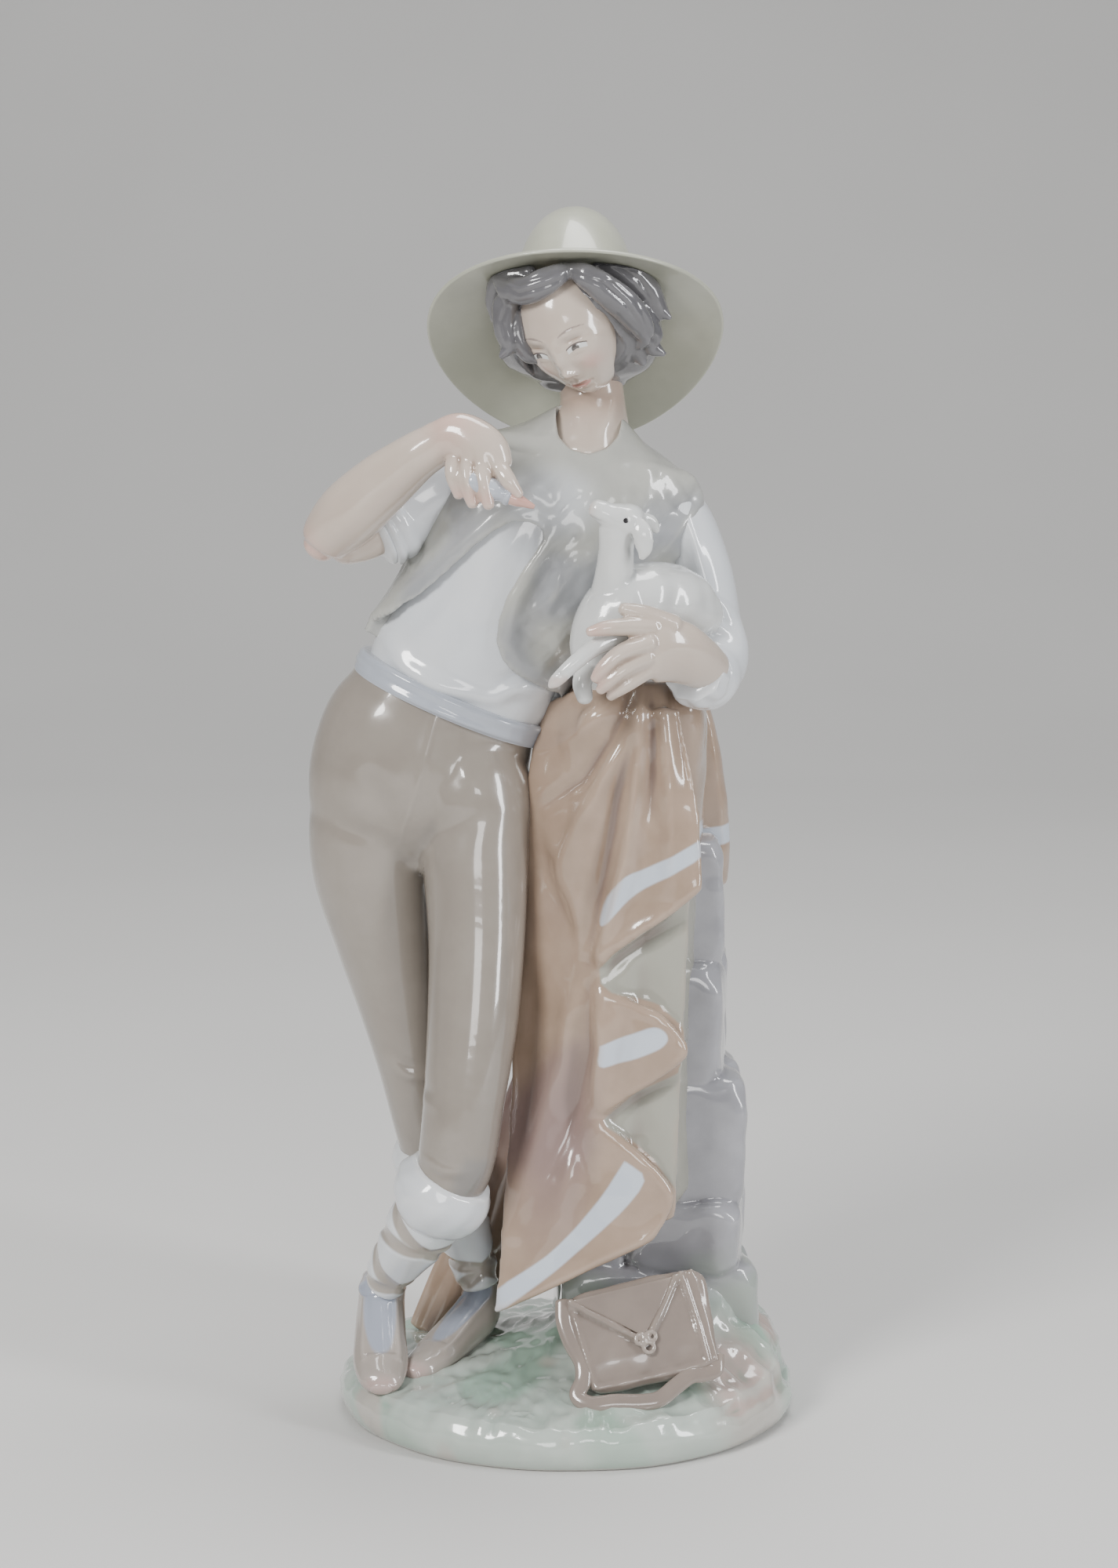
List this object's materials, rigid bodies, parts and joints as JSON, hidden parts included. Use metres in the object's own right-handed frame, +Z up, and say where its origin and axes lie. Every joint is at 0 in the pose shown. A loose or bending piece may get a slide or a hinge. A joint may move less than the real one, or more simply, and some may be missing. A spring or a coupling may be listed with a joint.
{
  "type": "porcelain figurine",
  "caption": "Glazed porcelain group of a shepherd in a wide hat who leans on a draped stone pillar and feeds a lamb from a bottle, with a satchel on a grassy mound.",
  "frame": {"origin": "middle of the mound's flat underside", "axes": "+Z up, +X to the viewer's right, -Y towards the viewer who sees the shepherd's front"},
  "size_m": [0.1354, 0.117, 0.3317],
  "materials": {
    "grass_green": "clear gloss glaze over pale green underglaze colour",
    "stone_lilac": "clear gloss glaze over lilac-grey",
    "blanket_peach": "clear gloss glaze over peach, with a pale blue stripe and a grey-green lining",
    "leather_brown": "clear gloss glaze over brown-grey",
    "trouser_taupe": "clear gloss glaze over taupe",
    "linen_white": "clear gloss glaze over white and pale blue",
    "sash_blue": "clear gloss glaze over pale slate blue",
    "fleece_grey": "clear gloss glaze over mottled pale grey",
    "skin_bisque": "clear gloss glaze over warm ivory",
    "hair_slate": "clear gloss glaze over slate grey",
    "hat_olive": "satin glaze over pale olive grey",
    "shoe_grey": "clear gloss glaze over grey, with a blue-grey tongue",
    "bottle_blue": "clear gloss glaze over blue-grey",
    "teat_rose": "clear gloss glaze over rose",
    "lamb_white": "clear gloss glaze over white"
  },
  "bodies": {
    "root": {"mound": "grass_green", "stone_pillar": "stone_lilac", "blanket_front_fall": "blanket_peach", "blanket_back_fall": "blanket_peach", "blanket_tail": "blanket_peach", "satchel_body": "leather_brown", "satchel_flap": "leather_brown", "satchel_clasp": "leather_brown", "satchel_strap": "leather_brown", "trousers": "trouser_taupe", "left_knee_cuff": "linen_white", "right_knee_cuff": "linen_white", "left_legging": "linen_white", "right_legging": "linen_white", "shirt_torso": "linen_white", "right_sleeve": "linen_white", "left_sleeve": "linen_white", "sash": "sash_blue", "fleece_vest": "fleece_grey", "neck": "skin_bisque", "head": "skin_bisque", "right_forearm": "skin_bisque", "right_hand": "skin_bisque", "left_hand": "skin_bisque", "hair": "hair_slate", "hat": "hat_olive", "left_shoe": "shoe_grey", "right_shoe": "shoe_grey", "bottle": "bottle_blue", "bottle_teat": "teat_rose", "lamb_body": "lamb_white", "lamb_head": "lamb_white", "lamb_left_ear": "lamb_white", "lamb_right_ear": "lamb_white", "lamb_left_foreleg": "lamb_white", "lamb_right_foreleg": "lamb_white"}
  },
  "joints": []
}
